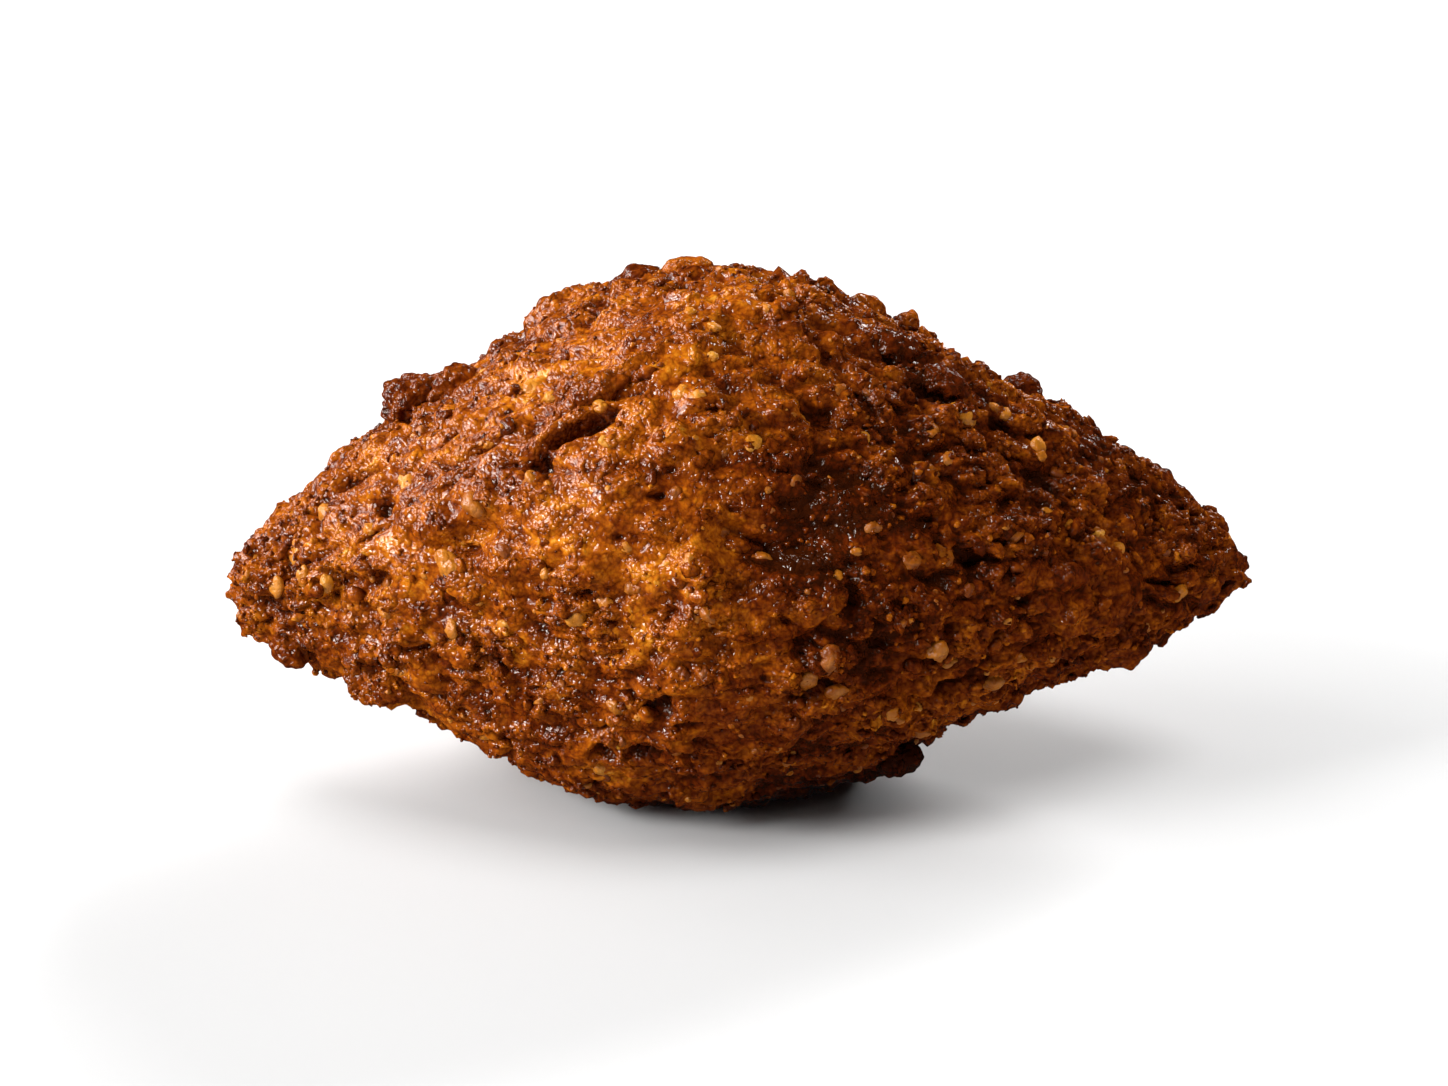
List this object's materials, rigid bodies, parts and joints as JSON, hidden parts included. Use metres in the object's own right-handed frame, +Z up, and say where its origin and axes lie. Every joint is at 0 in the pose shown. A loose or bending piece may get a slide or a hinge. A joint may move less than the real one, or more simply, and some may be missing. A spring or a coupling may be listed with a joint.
{
  "type": "kibbeh",
  "caption": "Whole deep-fried kibbeh: a hand-formed, double-ended spindle of bulgur and minced meat under a craggy browned crust, lying on a small flat spot.",
  "frame": {"origin": "middle of the base, on the surface that the kibbeh rests on", "axes": "+X along the spindle from its blunt end to its pointed end, -Y to the front that the picture shows, +Z up"},
  "size_m": [0.0808, 0.0452, 0.0413],
  "materials": {
    "fried_crust": "deep-fried brown crust, rough and craggy, with an oily sheen"
  },
  "bodies": {
    "root": {"kibbeh": "fried_crust"}
  },
  "joints": []
}
